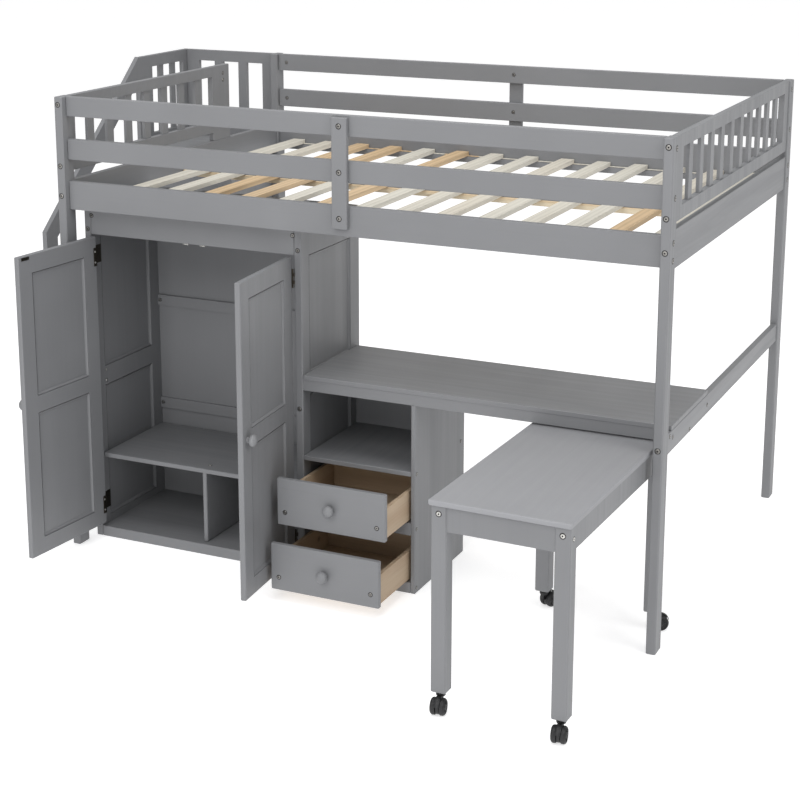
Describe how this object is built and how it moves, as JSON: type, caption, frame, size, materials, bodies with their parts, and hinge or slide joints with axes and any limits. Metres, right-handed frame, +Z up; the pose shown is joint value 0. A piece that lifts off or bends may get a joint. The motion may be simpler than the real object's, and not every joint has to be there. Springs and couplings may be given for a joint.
{
  "type": "loft bed with desk and wardrobe",
  "caption": "Raised single bed on posts with guard rails, stairs at one end, and a wardrobe, drawer cabinet, desk and rolling side table underneath.",
  "frame": {"origin": "centre of the underside of the front left post", "axes": "+Z up, +X along the bed to the foot end with the desk, +Y from the front to the back"},
  "size_m": [2.437, 2.0897, 1.504],
  "materials": {
    "grey_paint": "satin grey paint over wood",
    "pale_grey_paint": "satin pale grey paint over wood",
    "slat_pine": "planed pine, pale and honey boards mixed",
    "drawer_pine": "matt tan pine",
    "black_plastic": "moulded black plastic"
  },
  "bodies": {
    "frame": {"post_front_left": "grey_paint", "post_rear_left": "grey_paint", "post_front_right": "grey_paint", "post_rear_right": "grey_paint", "deck_rail_front": "grey_paint", "deck_rail_rear": "grey_paint", "deck_rail_left": "grey_paint", "deck_rail_right": "grey_paint", "guard_front_upper": "grey_paint", "guard_front_lower": "grey_paint", "guard_front_stile": "grey_paint", "guard_rear_upper": "grey_paint", "guard_rear_lower": "grey_paint", "guard_rear_stile": "grey_paint", "end_guard_right": "grey_paint", "end_guard_left": "grey_paint", "centre_beam": "slat_pine", "slats_front": "slat_pine", "slats_rear": "slat_pine", "desk_crossbar": "grey_paint", "stair_side_outer": "grey_paint", "stair_side_inner": "grey_paint", "stair_tread_1": "grey_paint", "stair_tread_2": "grey_paint", "stair_tread_3": "grey_paint", "stair_landing": "grey_paint", "landing_guard_rear": "grey_paint", "stair_handrail": "grey_paint", "wardrobe_side_left": "grey_paint", "wardrobe_side_right": "grey_paint", "wardrobe_back": "grey_paint", "wardrobe_header": "grey_paint", "wardrobe_bottom": "grey_paint", "wardrobe_shelf": "grey_paint", "desk_top": "grey_paint", "cabinet_side": "grey_paint", "cabinet_back": "grey_paint", "cubby_shelf": "grey_paint", "drawer_rail_middle": "grey_paint", "drawer_rail_bottom": "grey_paint"},
    "door_left": {"wardrobe_door_left": "grey_paint", "door_knob_left": "grey_paint"},
    "door_right": {"wardrobe_door_right": "grey_paint", "door_knob_right": "grey_paint"},
    "drawer_upper": {"drawer_front_upper": "grey_paint", "drawer_box_upper": "drawer_pine", "drawer_knob_upper": "grey_paint"},
    "drawer_lower": {"drawer_front_lower": "grey_paint", "drawer_box_lower": "drawer_pine", "drawer_knob_lower": "grey_paint"},
    "rolling_table": {"table_top": "pale_grey_paint", "table_frame": "grey_paint"},
    "caster_front_left": {"caster_housing_front_left": "black_plastic"},
    "wheels_front_left": {"caster_wheels_front_left": "black_plastic"},
    "caster_rear_left": {"caster_housing_rear_left": "black_plastic"},
    "wheels_rear_left": {"caster_wheels_rear_left": "black_plastic"},
    "caster_front_right": {"caster_housing_front_right": "black_plastic"},
    "wheels_front_right": {"caster_wheels_front_right": "black_plastic"},
    "caster_rear_right": {"caster_housing_rear_right": "black_plastic"},
    "wheels_rear_right": {"caster_wheels_rear_right": "black_plastic"}
  },
  "joints": [
    {"name": "door_left_hinge", "type": "hinge", "parent": "frame", "child": "door_left", "pos_m": [0.038, 0.069, 0.548], "axis": [0, 0, 1], "range_deg": [-7, 95]},
    {"name": "door_right_hinge", "type": "hinge", "parent": "frame", "child": "door_right", "pos_m": [0.785, 0.069, 0.548], "axis": [0, 0, 1], "range_deg": [-94.4, 0]},
    {"name": "drawer_upper_slide", "type": "slide", "parent": "frame", "child": "drawer_upper", "axis": [0, -1, 0], "range_m": [-0.181, 0.12]},
    {"name": "drawer_lower_slide", "type": "slide", "parent": "frame", "child": "drawer_lower", "axis": [0, -1, 0], "range_m": [-0.226, 0.075]},
    {"name": "rolling_table_roll", "type": "slide", "parent": "frame", "child": "rolling_table", "axis": [0, 1, 0], "range_m": [-0.09, 0.6]},
    {"name": "caster_front_left_swivel", "type": "hinge", "parent": "rolling_table", "child": "caster_front_left", "pos_m": [1.5778, -0.59334, 0.057], "axis": [0, 0, 1], "continuous": true},
    {"name": "wheels_front_left_spin", "type": "hinge", "parent": "caster_front_left", "child": "wheels_front_left", "pos_m": [1.58134, -0.61708, 0.024], "axis": [-0.989, -0.1478, 0], "continuous": true},
    {"name": "caster_rear_left_swivel", "type": "hinge", "parent": "rolling_table", "child": "caster_rear_left", "pos_m": [1.59732, 0.1524, 0.057], "axis": [0, 0, 1], "continuous": true},
    {"name": "wheels_rear_left_spin", "type": "hinge", "parent": "caster_rear_left", "child": "wheels_rear_left", "pos_m": [1.60612, 0.17473, 0.024], "axis": [0.9304, -0.3665, 0], "continuous": true},
    {"name": "caster_front_right_swivel", "type": "hinge", "parent": "rolling_table", "child": "caster_front_right", "pos_m": [1.92368, -0.6024, 0.057], "axis": [0, 0, 1], "continuous": true},
    {"name": "wheels_front_right_spin", "type": "hinge", "parent": "caster_front_right", "child": "wheels_front_right", "pos_m": [1.92722, -0.62614, 0.024], "axis": [-0.989, -0.1478, 0], "continuous": true},
    {"name": "caster_rear_right_swivel", "type": "hinge", "parent": "rolling_table", "child": "caster_rear_right", "pos_m": [1.9432, 0.14334, 0.057], "axis": [0, 0, 1], "continuous": true},
    {"name": "wheels_rear_right_spin", "type": "hinge", "parent": "caster_rear_right", "child": "wheels_rear_right", "pos_m": [1.96468, 0.15405, 0.024], "axis": [0.4462, -0.8949, 0], "continuous": true}
  ]
}
